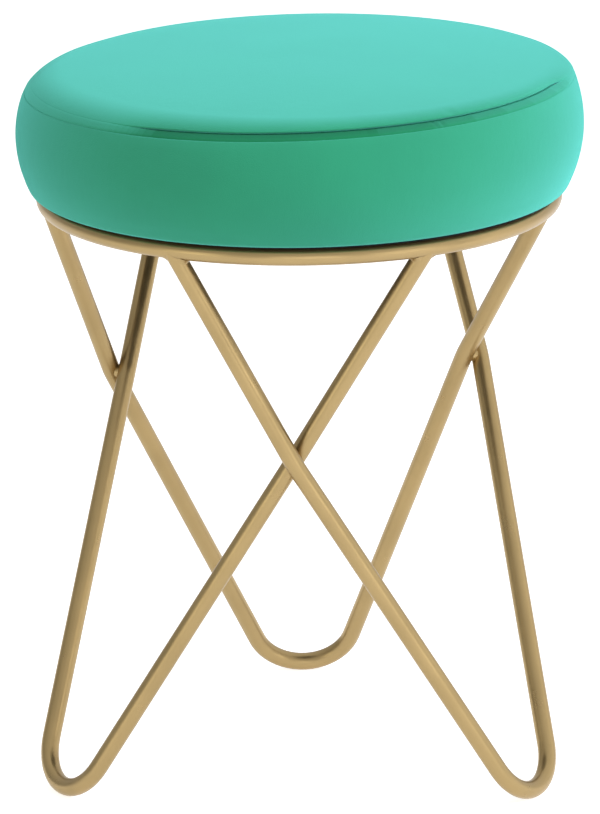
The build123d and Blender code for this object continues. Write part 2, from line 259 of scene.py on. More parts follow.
class FinishSettings(bpy.types.PropertyGroup):
    """Colours and finishes of the ottoman."""

    velvet: bpy.props.FloatVectorProperty(
        name="Velvet",
        description="Ground colour of the velvet",
        subtype="COLOR",
        default=(0.013, 0.268, 0.095),
        min=0.0,
        max=1.0,
    )
    velvet_sheen: bpy.props.FloatVectorProperty(
        name="Velvet sheen",
        description="Colour of the light on the tips of the pile",
        subtype="COLOR",
        default=(0.23, 1.00, 0.94),
        min=0.0,
        max=1.0,
    )
    gold: bpy.props.FloatVectorProperty(
        name="Gold",
        description="Colour of the gold finish on the tube",
        subtype="COLOR",
        default=(0.405, 0.290, 0.130),
        min=0.0,
        max=1.0,
    )
    zinc: bpy.props.FloatVectorProperty(
        name="Zinc",
        description="Colour of the plated screws and staples",
        subtype="COLOR",
        default=(0.62, 0.63, 0.64),
        min=0.0,
        max=1.0,
    )
    plywood: bpy.props.FloatVectorProperty(
        name="Plywood",
        description="Colour of the seat board",
        subtype="COLOR",
        default=(0.56, 0.40, 0.23),
        min=0.0,
        max=1.0,
    )
    foam: bpy.props.FloatVectorProperty(
        name="Foam",
        description="Colour of the foam inside the cushion",
        subtype="COLOR",
        default=(0.80, 0.74, 0.58),
        min=0.0,
        max=1.0,
    )
    dust_cloth: bpy.props.FloatVectorProperty(
        name="Dust cloth",
        description="Colour of the cloth under the seat",
        subtype="COLOR",
        default=(0.012, 0.012, 0.013),
        min=0.0,
        max=1.0,
    )
    floor: bpy.props.FloatVectorProperty(
        name="Floor",
        description="Colour of the floor",
        subtype="COLOR",
        default=(0.75, 0.75, 0.75),
        min=0.0,
        max=1.0,
    )


class Section:
    """Section of the cushion in one direction, as arcs in radius and height."""

    def __init__(self, cushion, direction=None):
        self.cushion = cushion
        self.bulge_centre = (
            cushion.radius - cushion.bulge_curve,
            cushion.hem_height + cushion.bulge_rise,
        )
        roll_height = cushion.hem_height + cushion.bottom_roll - cushion.bottom_sag
        drop = self.bulge_centre[1] - roll_height
        reach = sqrt((cushion.bulge_curve - cushion.bottom_roll) ** 2 - drop ** 2)
        self.bottom_centre = (self.bulge_centre[0] + reach, roll_height)
        self.bottom_angle = -atan2(drop, reach)
        self.seam = self.on_bulge(cushion.hem_height + cushion.seam_rise)
        self.crease = (self.seam[0] - cushion.strip_run, self.seam[1] + cushion.strip_rise)
        self.creased = 1.0 if direction is None else creased_share(direction)
        self.panel_roll = cushion.panel_roll
        if direction is not None:
            self.panel_roll -= cushion.panel_roll_softer * cos(direction)
            self.panel_roll += cushion.panel_roll_behind * sin(direction)
        slope = cushion.panel_slope
        self.panel_centre = (
            self.crease[0] - self.panel_roll * sin(slope),
            self.crease[1] - self.panel_roll * cos(slope),
        )
        rise = cushion.crown_height - self.panel_centre[1]
        half_width = self.panel_centre[0]
        self.crown_curve = half_width ** 2 + rise ** 2 - self.panel_roll ** 2
        self.crown_curve /= 2 * (rise - self.panel_roll)
        self.crown_edge = self.on_crown(half_width - cushion.panel_ease)
        self.crown_slope = asin(self.crown_edge[0] / self.crown_curve)

    def on_bulge(self, height, inset=0.0):
        """Point of the side's outward curve at a height, or of a curve inside it."""
        curve = self.cushion.bulge_curve - inset
        angle = asin((height - self.bulge_centre[1]) / curve)
        return around(self.bulge_centre, curve, angle)

    def on_crown(self, radius):
        """Point of the crown at a distance from the middle."""
        drop = self.crown_curve - sqrt(self.crown_curve ** 2 - radius ** 2)
        return (radius, self.cushion.crown_height - drop)

    def foam(self):
        """Foam, from the middle of the board round its edge and up inside the side."""
        cushion = self.cushion
        base_radii = (0.010, 0.060, 0.120)
        under_seam = 0.005
        inset = cushion.velvet_thickness + cushion.foam_clearance
        board_top = board_high.z + cushion.foam_clearance
        board_side = board_high.x + cushion.foam_clearance
        lap_height = cushion.hem_height + inset
        base = [(radius, board_top) for radius in base_radii + (board_side,)]
        lap = [(board_side, (board_top + lap_height) / 2), (board_side, lap_height)]
        bottom = arc(self.bottom_centre, cushion.bottom_roll - inset, -pi / 2, self.bottom_angle, 4)
        low = around(self.bulge_centre, cushion.bulge_curve - inset, self.bottom_angle)
        heights = line(low, (0, self.seam[1] - under_seam), 9)
        wall = [self.on_bulge(height, inset) for _, height in heights[1:]]
        return base + lap + bottom + wall

    def roll(self, share):
        """Rolled edge of the top panel, from the crease to the crown."""
        slope = self.cushion.panel_slope
        return eased(self.crease, slope, self.crown_edge, self.crown_slope, share)

    def shoulder(self, share):
        """Smooth shoulder from the seam to the crown, where the crease is drawn out flat."""
        slope = self.cushion.shoulder_slope
        return eased(self.seam, slope, self.crown_edge, self.crown_slope, share)

    def panel(self):
        """Velvet top, from its edge under the crease over the roll and the crown to the middle."""
        slope = self.cushion.panel_slope
        lip, curl_start, curl_steps = 0.0008, radians(-95), 6
        neck_in, neck_drop = 0.0035, 0.0012
        flat_neck_in, flat_neck_drop = 0.0030, 0.0015
        flat_lap, flat_tuck = 0.04, 0.0004
        lip_centre = (self.crease[0] - lip * sin(slope), self.crease[1] - lip * cos(slope))
        neck = (lip_centre[0] - neck_in, lip_centre[1] - lip - neck_drop)
        curl = arc(lip_centre, lip, curl_start, pi / 2 - slope, curl_steps)
        edge = self.shoulder(STRIP_SHARE)
        inward = self.shoulder_inward()
        flat_neck = edge + inward * flat_neck_in - Vector((0, flat_neck_drop))
        flat_curl = []
        for i in range(curl_steps + 1):
            back = 1 - i / curl_steps
            lapped = self.shoulder(STRIP_SHARE - flat_lap * back)
            flat_curl.append(lapped + inward * flat_tuck * back)
        steps = 10
        shares = [i / steps for i in range(1, steps + 1)]
        roll = [self.roll(share) for share in shares]
        flat_roll = [self.shoulder(STRIP_SHARE + (1 - STRIP_SHARE) * share) for share in shares]
        rings = 20
        crown = [self.on_crown(self.crown_edge[0] * (1 - i / rings)) for i in range(1, rings)]
        creased = [neck] + curl + roll
        flat = [flat_neck] + flat_curl + flat_roll
        return mixed(flat, creased, self.creased) + crown

    def shoulder_inward(self):
        """Direction into the padding, square to the smooth shoulder where the strip ends."""
        nearby = 0.1
        along = self.shoulder(STRIP_SHARE + nearby) - self.shoulder(STRIP_SHARE - nearby)
        along.normalize()
        return Vector((-along.y, along.x))

    def strip(self):
        """Closed section of the edge strip, which lies in a groove at the seam and under the crease."""
        steps = 7
        seam_gap, crease_gap = 0.0003, 0.0012
        groove_depth, fullness = 0.0005, 0.0003
        flat_start, flat_overlap, flat_tuck = 0.01, 0.02, 0.0003
        low = Vector(self.seam)
        high = Vector(self.crease)
        along = (high - low).normalized()
        outward = Vector((along.y, -along.x))
        low += along * seam_gap
        high -= along * crease_gap
        high -= outward * self.cushion.crease_depth
        creased = []
        flat = []
        inward = self.shoulder_inward()
        for i in range(steps + 1):
            share = i / steps
            groove = groove_depth if i == 0 else 0.0
            full = fullness * sin(pi * share)
            creased.append(low.lerp(high, share) + outward * (full - groove))
            tuck = flat_tuck * max(0.0, 4 * share - 3)
            level = self.shoulder(flat_start + (STRIP_SHARE + flat_overlap) * share)
            flat.append(level + inward * (groove + tuck))
        return mixed(self.backed(flat), self.backed(creased), self.creased)

    def backed(self, outer):
        """Closed section of a strip of velvet with this outer line."""
        rounding, high_trim, low_trim = 0.0001, 0.0006, 0.0008
        low, high = outer[0], outer[-1]
        along = (high - low).normalized()
        back = Vector((-along.y, along.x)) * self.cushion.velvet_thickness
        return outer + [
            high + back / 2 + along * rounding,
            high + back - along * high_trim,
            low.lerp(high, 0.5) + back,
            low + back + along * low_trim,
            low + back / 2 - along * rounding,
        ]

    def side(self):
        """Velvet side, from the hem under the board over the bulge to the seam."""
        cushion = self.cushion
        hem_stop = 0.002
        edge_in, edge_drop = 0.0001, 0.0003
        fold_in, tuck_in, tuck_drop = 0.0004, 0.0011, 0.0006
        hem_end = (self.bottom_centre[0] - hem_stop, cushion.hem_height)
        hem = line((cushion.hem_inner_radius, cushion.hem_height), hem_end, 5)
        bottom = arc(self.bottom_centre, cushion.bottom_roll, -pi / 2, self.bottom_angle, 7)
        rise = self.seam[1] - self.bulge_centre[1]
        seam_angle = asin(rise / cushion.bulge_curve)
        bulge = arc(self.bulge_centre, cushion.bulge_curve, self.bottom_angle, seam_angle, 26)
        edge = (self.seam[0] - edge_in, self.seam[1] - edge_drop)
        fold = (self.seam[0] - fold_in, self.seam[1])
        tuck = (self.seam[0] - tuck_in, self.seam[1] - tuck_drop)
        return hem + bottom + bulge[1:-1] + [edge, fold, tuck]


def creased_share(direction):
    """How deep the crease is in a direction: it is drawn out flat on the left and the right."""
    depth = 1.0
    for middle, flat_half, fade in FLAT_STRETCHES:
        off = abs((direction - radians(middle) + pi) % (2 * pi) - pi)
        share = min(1.0, max(0.0, (off - radians(flat_half)) / radians(fade)))
        depth *= share * share * (3 - 2 * share)
    return depth


def mixed(flat, creased, share):
    """Points of a section between its flat form and its creased form."""
    return [tuple(Vector(a).lerp(Vector(b), share)) for a, b in zip(flat, creased)]


def around(centre, radius, angle):
    """Point on an arc of the section."""
    return (centre[0] + radius * cos(angle), centre[1] + radius * sin(angle))


def eased(start, start_slope, end, end_slope, share):
    """Point on a soft bend of the section that runs inwards from one slope to a flatter one."""
    start, end = Vector(start), Vector(end)
    rising = Vector((-cos(start_slope), sin(start_slope)))
    falling = Vector((cos(end_slope), -sin(end_slope)))
    reach = (end - start).cross(falling) / rising.cross(falling)
    corner = start + rising * reach
    return start.lerp(corner, share).lerp(corner.lerp(end, share), share)


def arc(centre, radius, start, end, steps):
    """Evenly spaced points on an arc of the section, ends included."""
    return [around(centre, radius, start + (end - start) * i / steps) for i in range(steps + 1)]


def line(start, end, steps):
    """Evenly spaced points on a straight of the section, ends included."""
    return [
        (start[0] + (end[0] - start[0]) * i / steps, start[1] + (end[1] - start[1]) * i / steps)
        for i in range(steps + 1)
    ]


def start_piece(name, station, segments):
    """A ring of edges at the first station of a section, in edit mode and selected."""
    bpy.ops.object.select_all(action="DESELECT")
    radius, height = station
    bpy.ops.mesh.primitive_circle_add(vertices=segments, radius=radius, location=(0, 0, height))
    bpy.ops.object.transform_apply(location=True, rotation=True, scale=True)
    piece = bpy.context.object
    piece.name = name
    piece.data.name = name
    bpy.ops.object.mode_set(mode="EDIT")
    bpy.ops.mesh.select_mode(type="EDGE")
    bpy.ops.mesh.select_all(action="SELECT")
    return piece


def draw_out(start, stations):
    """Extrudes the selected ring through the other stations of a section."""
    last_radius, last_height = start
    for radius, height in stations:
        bpy.ops.mesh.extrude_region_move(TRANSFORM_OT_translate={"value": (0, 0, height - last_height)})
        share = radius / last_radius
        bpy.ops.transform.resize(value=(share, share, 1), center_override=(0, 0, height))
        last_radius, last_height = radius, height


def close_piece():
    """Merges doubles, turns the faces outwards and leaves edit mode."""
    bpy.ops.mesh.select_all(action="SELECT")
    bpy.ops.mesh.remove_doubles(threshold=0.00001)
    bpy.ops.mesh.normals_make_consistent(inside=False)
    bpy.ops.object.mode_set(mode="OBJECT")


def select_only(piece):
    bpy.ops.object.select_all(action="DESELECT")
    piece.select_set(True)
    bpy.context.view_layer.objects.active = piece


def apply_all(piece):
    select_only(piece)
    for name in [modifier.name for modifier in piece.modifiers]:
        bpy.ops.object.modifier_apply(modifier=name)


def subdivide(piece, levels):
    """Rounds a piece off by dividing its faces."""
    rounder = piece.modifiers.new("rounder", "SUBSURF")
    rounder.levels = levels
    rounder.render_levels = levels
    apply_all(piece)


def follow_directions(piece, stations, stations_in):
    """Moves each point of a turned piece to the section that the cushion has in its direction."""
    sections = {}
    middle_radius = 0.0001
    for vertex in piece.data.vertices:
        radius = vertex.co.xy.length
        if radius < middle_radius:
            continue
        direction = round(atan2(vertex.co.y, vertex.co.x), 4)
        if direction not in sections:
            sections[direction] = stations_in(direction)
        here = Vector((radius, vertex.co.z))
        ring = min(range(len(stations)), key=lambda i: (here - Vector(stations[i])).length)
        new_radius, height = sections[direction][ring]
        vertex.co = (new_radius * cos(direction), new_radius * sin(direction), height)


def mark(piece, name, is_in):
    """Vertex group of the points whose radius and height pass a test."""
    group = piece.vertex_groups.new(name=name)
    inside = [v.index for v in piece.data.vertices if is_in(v.co.xy.length, v.co.z)]
    group.add(inside, 1.0, "REPLACE")


def ease_velvet(piece, strength, size):
    """Gives the stretched velvet the slight unevenness of hand upholstery."""
    waves = bpy.data.textures.new(piece.name + "_waves", "CLOUDS")
    waves.noise_scale = size
    waves.noise_depth = 1
    uneven = piece.modifiers.new("uneven", "DISPLACE")
    uneven.texture = waves
    uneven.texture_coords = "LOCAL"
    uneven.strength = strength
    uneven.mid_level = 0.5
    uneven.vertex_group = "loose"
    apply_all(piece)


def swell_velvet(piece, pressure, cap):
    """Lets the velvet swell over its filling as cloth that is held along its seams."""
    steps = 20
    built = [vertex.co.copy() for vertex in piece.data.vertices]
    select_only(piece)
    cloth = piece.modifiers.new("velvet", "CLOTH")
    cloth.settings.vertex_group_mass = "sewn"
    cloth.settings.quality = 6
    cloth.settings.tension_stiffness = 40
    cloth.settings.compression_stiffness = 40
    cloth.settings.shear_stiffness = 15
    cloth.settings.bending_stiffness = 4
    cloth.settings.air_damping = 8
    cloth.settings.use_pressure = True
    cloth.settings.uniform_pressure_force = pressure
    cloth.settings.effector_weights.gravity = 0
    cloth.collision_settings.use_collision = False
    cloth.point_cache.frame_start = 1
    cloth.point_cache.frame_end = steps
    for step in range(1, steps + 1):
        bpy.context.scene.frame_set(step)
    bpy.ops.object.modifier_apply(modifier=cloth.name)
    bpy.context.scene.frame_set(1)
    for vertex, place in zip(piece.data.vertices, built):
        move = vertex.co - place
        if move.length > cap:
            vertex.co = place + move.normalized() * cap


def pucker(piece, direction, width, depth, low, high):
    """Presses a short upright wrinkle into the velvet, between two heights."""
    along = Vector((-sin(direction), cos(direction)))
    facing = Vector((cos(direction), sin(direction)))
    normals = [vertex.normal.copy() for vertex in piece.data.vertices]
    for vertex, normal in zip(piece.data.vertices, normals):
        if vertex.co.xy.dot(facing) < 0 or not low < vertex.co.z < high:
            continue
        across = vertex.co.xy.dot(along) / width
        upright = sin(pi * (vertex.co.z - low) / (high - low))
        vertex.co -= normal * depth * upright / (1 + across ** 4)


def lean_piece(piece, cushion):
    """Leans the padded top to the full lean at the edge, and draws the bottom edge up."""
    height = cushion.seam_rise + cushion.strip_rise
    shift_height = 0.03
    hem_radius, drawn_radius = 0.165, 0.173
    for vertex in piece.data.vertices:
        above_hem = vertex.co.z - cushion.hem_height
        share = min(1.0, max(0.0, above_hem / height))
        shift_share = min(1.0, max(0.0, above_hem / shift_height))
        tilt = tan(cushion.lean) * vertex.co.x - tan(cushion.lean_forward) * vertex.co.y
        drawn = (vertex.co.xy.length - hem_radius) / (drawn_radius - hem_radius)
        drawn = min(1.0, max(0.0, drawn)) * (1 - share)
        lift = max(0.0, cushion.bottom_rise + tan(cushion.bottom_lean) * vertex.co.x)
        vertex.co.z += tilt * share + lift * drawn
        vertex.co.x += cushion.lean_shift * shift_share


def finish_piece(piece, material):
    """Smooth shading, a finish and a place on the frame."""
    select_only(piece)
    bpy.ops.object.shade_smooth_by_angle(angle=radians(50))
    piece.data.materials.clear()
    piece.data.materials.append(material)
    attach(piece, "root")


def dress_nodes(names, material):
    """Gives solids of the frame a finish."""
    for name in names:
        for material_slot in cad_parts[name].material_slots:
            material_slot.material = material


def new_material(name):
    material = bpy.data.materials.new(name)
    material.use_nodes = True
    shader = material.node_tree.nodes["Principled BSDF"]
    return material, shader


def add_node(material, kind, **values):
    """A node with the values of its named inputs."""
    node = material.node_tree.nodes.new(kind)
    for name, value in values.items():
        node.inputs[name.replace("_", " ")].default_value = value
    return node


def join(material, output, socket):
    material.node_tree.links.new(output, socket)


def place_on(material, stretch=(1, 1, 1)):
    """Object coordinates, stretched where a pattern runs one way."""
    coordinates = add_node(material, "ShaderNodeTexCoord")
    mapping = add_node(material, "ShaderNodeMapping", Scale=stretch)
    join(material, coordinates.outputs["Object"], mapping.inputs["Vector"])
    return mapping.outputs["Vector"]


def noise(material, place, scale, detail=2.0, roughness=0.5):
    node = add_node(material, "ShaderNodeTexNoise", Scale=scale, Detail=detail, Roughness=roughness)
    join(material, place, node.inputs["Vector"])
    return node.outputs[0]


def ramp(material, factor, stops):
    """Colour ramp through stops of position and colour."""
    node = add_node(material, "ShaderNodeValToRGB")
    elements = node.color_ramp.elements
    while len(elements) < len(stops):
        elements.new(0.5)
    for element, (position, colour) in zip(elements, stops):
        element.position = position
        element.color = (*colour, 1.0)
    join(material, factor, node.inputs["Fac"])
    return node.outputs["Color"]


def bump(material, height, strength, distance, under=None):
    node = add_node(material, "ShaderNodeBump", Strength=strength, Distance=distance)
    join(material, height, node.inputs["Height"])
    if under is not None:
        join(material, under, node.inputs["Normal"])
    return node.outputs["Normal"]


def shade(colour, factor):
    """A darker or lighter tone of a colour."""
    return tuple(min(1.0, channel * factor) for channel in colour)


def grey(value):
    return (value, value, value)


def velvet_material(name, finish, tips, with_nap_and_shade=False):
    """Short-pile velvet: a deep ground, soft brushed patches, fine pile and light on the tips."""
    material, shader = new_material(name)
    place = place_on(material)
    patches = noise(material, place, 16.0, 3.0)
    tones = ((0.32, shade(finish.velvet, 0.95)), (0.68, shade(finish.velvet, 1.05)))
    colour = ramp(material, patches, tones)
    # Optional painted shade: the ground colour is scaled by a value stored on the points, partly a nap
    # that runs across and partly painted shade
    if with_nap_and_shade:
        nap_and_shade = add_node(material, "ShaderNodeAttribute")
        nap_and_shade.attribute_name = "nap_and_shade"
        shaded_ground = add_node(material, "ShaderNodeVectorMath")
        shaded_ground.operation = "SCALE"
        join(material, colour, shaded_ground.inputs[0])
        join(material, nap_and_shade.outputs["Fac"], shaded_ground.inputs["Scale"])
        colour = shaded_ground.outputs["Vector"]
    join(material, colour, shader.inputs["Base Color"])
    pile = noise(material, place, 1400.0, 2.0)
    nap = noise(material, place_on(material, (1, 1, 0.35)), 260.0, 2.0)
    rough = bump(material, pile, 0.35, 0.0004)
    join(material, bump(material, nap, 0.12, 0.0008, rough), shader.inputs["Normal"])
    shader.inputs["Roughness"].default_value = 0.9
    shader.inputs["Specular IOR Level"].default_value = 0.15
    shader.inputs["Sheen Weight"].default_value = tips
    shader.inputs["Sheen Roughness"].default_value = 0.70
    shader.inputs["Sheen Tint"].default_value = (*finish.velvet_sheen, 1.0)
    return material


def gold_material(finish):
    """Satin gold lacquer over metal, with faint polishing marks."""
    material, shader = new_material("satin_gold")
    place = place_on(material)
    cloudy = noise(material, place, 22.0, 3.0)
    tones = ((0.3, shade(finish.gold, 0.94)), (0.7, shade(finish.gold, 1.05)))
    join(material, ramp(material, cloudy, tones), shader.inputs["Base Color"])
    smears = noise(material, place, 55.0, 4.0)
    polish = ((0.3, grey(0.27)), (0.7, grey(0.36)))
    join(material, ramp(material, smears, polish), shader.inputs["Roughness"])
    grains = noise(material, place, 2200.0, 2.0)
    join(material, bump(material, grains, 0.05, 0.0002), shader.inputs["Normal"])
    shader.inputs["Metallic"].default_value = 0.85
    return material


def zinc_material(finish):
    """Plated steel with faint spangle."""
    material, shader = new_material("zinc_steel")
    place = place_on(material)
    spangle = noise(material, place, 600.0, 3.0)
    tones = ((0.3, shade(finish.zinc, 0.88)), (0.7, shade(finish.zinc, 1.05)))
    join(material, ramp(material, spangle, tones), shader.inputs["Base Color"])
    polish = ((0.3, grey(0.28)), (0.7, grey(0.42)))
    join(material, ramp(material, spangle, polish), shader.inputs["Roughness"])
    shader.inputs["Metallic"].default_value = 1.0
    return material


def plywood_material(finish):
    """Rotary-cut face veneer with long grain."""
    material, shader = new_material("plywood")
    grain = noise(material, place_on(material, (1, 14, 14)), 9.0, 6.0, 0.65)
    tones = (
        (0.30, shade(finish.plywood, 0.72)),
        (0.50, finish.plywood),
        (0.70, shade(finish.plywood, 1.14)),
    )
    join(material, ramp(material, grain, tones), shader.inputs["Base Color"])
    join(material, bump(material, grain, 0.2, 0.0004), shader.inputs["Normal"])
    shader.inputs["Roughness"].default_value = 0.7
    return material


def foam_material(finish):
    """Open-cell foam."""
    material, shader = new_material("foam")
    place = place_on(material)
    cells = add_node(material, "ShaderNodeTexVoronoi", Scale=900.0)
    join(material, place, cells.inputs["Vector"])
    tones = ((0.1, shade(finish.foam, 0.7)), (0.6, finish.foam))
    join(material, ramp(material, cells.outputs["Distance"], tones), shader.inputs["Base Color"])
    join(material, bump(material, cells.outputs["Distance"], 0.4, 0.0005), shader.inputs["Normal"])
    shader.inputs["Roughness"].default_value = 0.95
    return material


def weave(material, place, threads, direction):
    """Bands across one direction of a woven cloth."""
    bands = add_node(material, "ShaderNodeTexWave", Scale=threads, Distortion=0.6, Detail=1.0)
    bands.bands_direction = direction
    join(material, place, bands.inputs["Vector"])
    return bands.outputs["Fac"]


def dust_cloth_material(finish):
    """Thin black spun cloth."""
    material, shader = new_material("black_cloth")
    place = place_on(material)
    across = weave(material, place, 190.0, "X")
    along = weave(material, place, 190.0, "Y")
    fibres = noise(material, place, 420.0, 4.0, 0.7)
    tones = ((0.3, shade(finish.dust_cloth, 0.7)), (0.7, shade(finish.dust_cloth, 1.9)))
    join(material, ramp(material, fibres, tones), shader.inputs["Base Color"])
    woven = bump(material, across, 0.25, 0.0002)
    crossed = bump(material, along, 0.25, 0.0002, woven)
    join(material, crossed, shader.inputs["Normal"])
    shader.inputs["Roughness"].default_value = 0.85
    shader.inputs["Specular IOR Level"].default_value = 0.2
    return material


def seen_rays(owner):
    """1 for the camera's rays and for rays that metal or glass sends on, else 0."""
    rays = add_node(owner, "ShaderNodeLightPath")
    seen = rays.outputs["Is Camera Ray"]
    for kind in ("Is Glossy Ray", "Is Transmission Ray"):
        either = add_node(owner, "ShaderNodeMath")
        either.operation = "MAXIMUM"
        join(owner, seen, either.inputs[0])
        join(owner, rays.outputs[kind], either.inputs[1])
        seen = either.outputs[0]
    return seen


def floor_material(finish):
    """Pale floor that keeps the shadow, and shows white to the camera and in the metal."""
    material, shader = new_material("pale_floor")
    shader.inputs["Base Color"].default_value = (*finish.floor, 1.0)
    shader.inputs["Roughness"].default_value = 0.9
    shader.inputs["Specular IOR Level"].default_value = 0.1
    seen_glow = 0.75
    lift = add_node(material, "ShaderNodeMath")
    lift.operation = "MULTIPLY"
    lift.inputs[1].default_value = seen_glow
    join(material, seen_rays(material), lift.inputs[0])
    shader.inputs["Emission Color"].default_value = (1.0, 1.0, 1.0, 1.0)
    join(material, lift.outputs[0], shader.inputs["Emission Strength"])
    return material


class OTTOMAN_OT_velvet_top(bpy.types.Operator):
    """Model the padded top: the crowned velvet panel with its rolled edge, and the foam under it"""

    bl_idname = "ottoman.velvet_top"
    bl_label = "Velvet top"

    def execute(self, context):
        cushion = context.scene.ottoman_cushion
        finish = context.scene.ottoman_finish
        tucked = 0.0035
        wave_depth, wave_size = 0.0008, 0.11
        pressure, swell_cap = 4.0, 0.0004
        wrinkle, wrinkle_height = radians(303.5), 0.004
        wrinkle_width, wrinkle_depth = 0.0012, 0.0007
        section = Section(cushion)
        foam = section.foam()
        stations = foam + section.panel()
        piece = start_piece("velvet_top", stations[0], cushion.segments)
        draw_out(stations[0], stations[1:])
        bpy.ops.mesh.merge(type="CENTER")
        bpy.ops.mesh.select_all(action="DESELECT")
        bpy.ops.mesh.select_non_manifold(extend=False)
        bpy.ops.mesh.merge(type="CENTER")
        close_piece()
        follow_directions(
            piece, stations, lambda direction: foam + Section(cushion, direction).panel()
        )
        crease_height = section.crease[1]
        panel_foot = crease_height - tucked
        free_radius = section.crown_edge[0]
        mark(piece, "velvet", lambda radius, height: height > panel_foot)
        mark(piece, "loose", lambda radius, height: height > panel_foot and radius < free_radius)
        mark(piece, "sewn", lambda radius, height: height < panel_foot or radius >= free_radius)
        ease_velvet(piece, wave_depth, wave_size)
        swell_velvet(piece, pressure, swell_cap)
        subdivide(piece, 1)
        wrinkle_top = crease_height + wrinkle_height
        pucker(piece, wrinkle, wrinkle_width, wrinkle_depth, crease_height, wrinkle_top)
        lean_piece(piece, cushion)
        finish_piece(piece, velvet_material("velvet_top", finish, 1.0))
        piece.data.materials.append(foam_material(finish))
        velvet = piece.vertex_groups["velvet"].index
        for face in piece.data.polygons:
            points = [piece.data.vertices[i] for i in face.vertices]
            is_velvet = all(any(g.group == velvet for g in point.groups) for point in points)
            face.material_index = 0 if is_velvet else 1
        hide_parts("top_panel", "foam_pad")
        return {"FINISHED"}


class OTTOMAN_OT_velvet_strip(bpy.types.Operator):
    """Model the narrow sewn strip between the top panel's crease and the lower seam"""

    bl_idname = "ottoman.velvet_strip"
    bl_label = "Velvet strip"

    def execute(self, context):
        cushion = context.scene.ottoman_cushion
        finish = context.scene.ottoman_finish
        # Direction in degrees and depth of each wrinkle
        wrinkles = ((299.0, 0.0006), (300.6, 0.0005), (284.0, 0.0002), (247.0, 0.0002))
        wrinkle_width, below_seam = 0.0011, 0.001
        section = Section(cushion)
        stations = section.strip()
        piece = start_piece("velvet_strip", stations[0], cushion.segments * 3)
        draw_out(stations[0], stations[1:])
        bpy.ops.mesh.select_all(action="DESELECT")
        bpy.ops.mesh.select_non_manifold(extend=False)
        bpy.ops.mesh.bridge_edge_loops()
        close_piece()
        follow_directions(piece, stations, lambda direction: Section(cushion, direction).strip())
        subdivide(piece, 1)
        low, high = section.seam[1] - below_seam, section.crease[1]
        for direction, depth in wrinkles:
            pucker(piece, radians(direction), wrinkle_width, depth, low, high)
        lean_piece(piece, cushion)
        self.finish_and_shade_strip(piece, section, finish)
        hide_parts("edge_strip")
        return {"FINISHED"}

    def finish_and_shade_strip(self, piece, section, finish):
        """Painted shade: the strip is darkened, with less sheen, deep in the crease, partly a nap that
        runs across and partly painted shade, and painted lighter towards the right, where the light
        falls. Like the velvet next to it where the crease is drawn out flat.
        """
        levels = 9
        # Painted shade: the sheen weight deepest in the crease, how dark the ground is painted at the
        # crease and at the seam, and how much lighter the seam is painted towards the right, where the
        # light falls
        shaded_tips, crease_shade, seam_shade, right_light_change = 0.15, 0.55, 0.84, 0.12
        # Painted light: the crease's painted shade fades out towards the right
        right_light_fade = 0.8
        # Shaded copies of the velvet, each with less sheen than the last
        shaded_strips = []
        for level in range(levels):
            tips = 1 + (shaded_tips - 1) * level / (levels - 1)
            shaded_strips.append(velvet_material(f"velvet_strip_{level}", finish, tips, with_nap_and_shade=True))
        finish_piece(piece, shaded_strips[0])
        for material in shaded_strips[1:]:
            piece.data.materials.append(material)
        # Painted shade stored on the points, by which the strip's ground colour is darkened
        nap_and_shade = piece.data.attributes.new("nap_and_shade", "FLOAT", "POINT")
        # Share of painted shade at each point: how deep the crease is there, faded out towards the
        # right
        creased = []
        for vertex in piece.data.vertices:
            direction = atan2(vertex.co.y, vertex.co.x)
            rightward = max(0.0, cos(direction))
            creased.append(creased_share(direction) * (1 - right_light_fade * rightward ** 2))
            inward = section.seam[0] - vertex.co.xy.length
            across = min(1.0, max(0.0, inward / section.cushion.strip_run))
            edge_shade = seam_shade + right_light_change * cos(direction)
            strip_shade = edge_shade + (crease_shade - edge_shade) * across
            nap_and_shade.data[vertex.index].value = 1 + (strip_shade - 1) * creased[-1]
        # Each face takes the shaded copy of the velvet that suits its share of painted shade
        for face in piece.data.polygons:
            mean = sum(creased[i] for i in face.vertices) / len(face.vertices)
            face.material_index = round(mean * (levels - 1))


class OTTOMAN_OT_velvet_side(bpy.types.Operator):
    """Model the bulging velvet side, drawn in at the bottom and turned under the board"""

    bl_idname = "ottoman.velvet_side"
    bl_label = "Velvet side"

    def execute(self, context):
        cushion = context.scene.ottoman_cushion
        finish = context.scene.ottoman_finish
        seam_allowance, bottom_allowance = 0.004, 0.008
        wave_depth, wave_size = 0.0008, 0.09
        pressure, swell_cap = 4.0, 0.0006
        section = Section(cushion)
        stations = section.side()
        piece = start_piece("velvet_side", stations[0], cushion.segments)
        draw_out(stations[0], stations[1:])
        close_piece()
        held_top = section.seam[1] - seam_allowance
        held_bottom = cushion.hem_height + bottom_allowance
        mark(piece, "loose", lambda radius, height: held_bottom < height < held_top)
        mark(piece, "sewn", lambda radius, height: not held_bottom < height < held_top)
        ease_velvet(piece, wave_depth, wave_size)
        swell_velvet(piece, pressure, swell_cap)
        subdivide(piece, 1)
        wall = piece.modifiers.new("wall", "SOLIDIFY")
        wall.thickness = cushion.velvet_thickness
        wall.offset = -1.0
        apply_all(piece)
        lean_piece(piece, cushion)
        finish_piece(piece, velvet_material("velvet_side", finish, 1.0))
        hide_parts("side_band")
        return {"FINISHED"}


